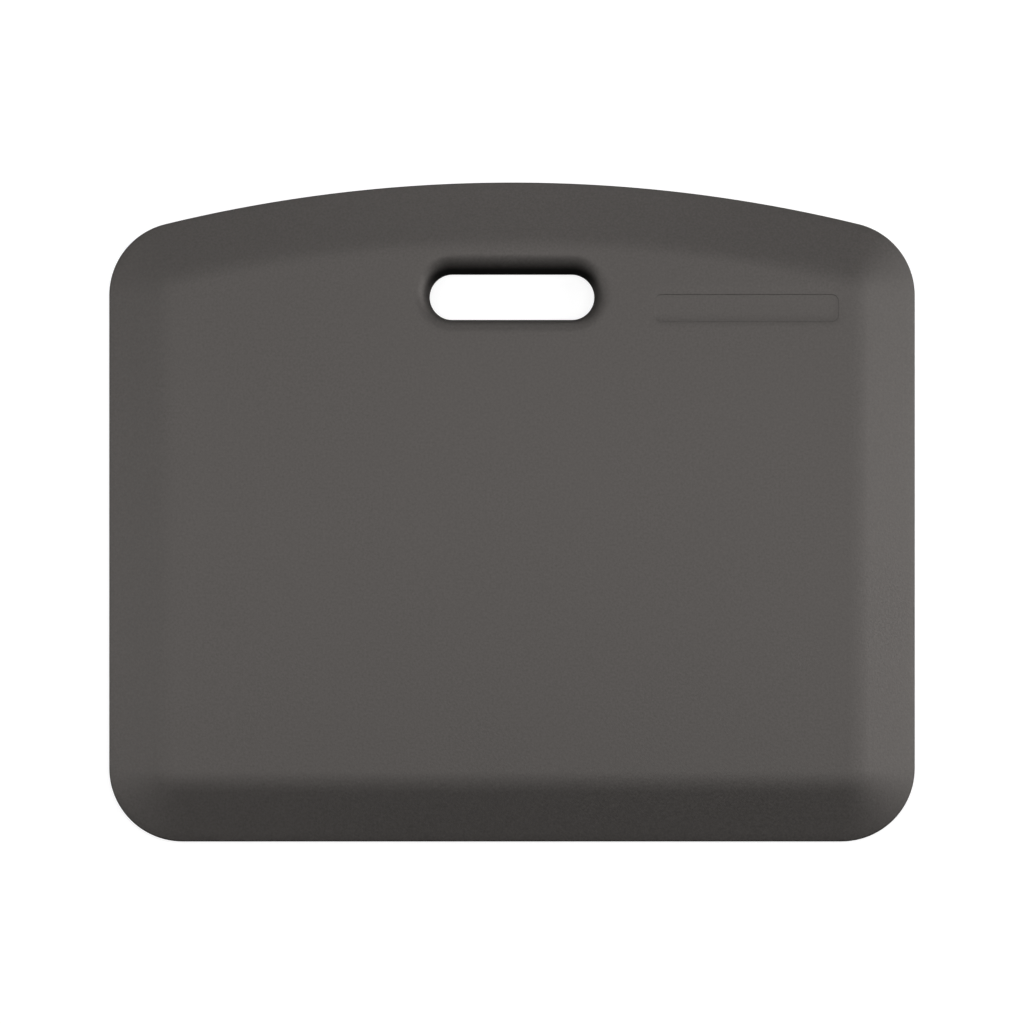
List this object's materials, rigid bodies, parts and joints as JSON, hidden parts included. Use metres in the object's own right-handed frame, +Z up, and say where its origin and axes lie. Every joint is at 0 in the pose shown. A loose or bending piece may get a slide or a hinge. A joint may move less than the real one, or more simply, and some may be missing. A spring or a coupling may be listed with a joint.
{
  "type": "anti-fatigue mat",
  "caption": "Cushioned standing mat for a desk, with a crowned head edge, bevelled edges all round, soft round corners and a lipped carry slot through its head end.",
  "frame": {"origin": "on the floor plane, under the middle of the mat's width and depth", "axes": "+X along the straight foot edge, +Y towards the crowned edge with the carry slot, +Z up out of the standing face"},
  "size_m": [0.5588, 0.4571, 0.0191],
  "materials": {
    "wear_skin": "satin moulded polyurethane skin in warm dark grey, with a very fine pebble grain",
    "cushion_foam": "fine closed-cell polyurethane foam in the same warm grey",
    "grip_base": "matt moulded polyurethane skin with a waffle of grip pads"
  },
  "bodies": {
    "root": {"top_skin": "wear_skin", "foam_core": "cushion_foam", "base_skin": "grip_base"}
  },
  "joints": []
}
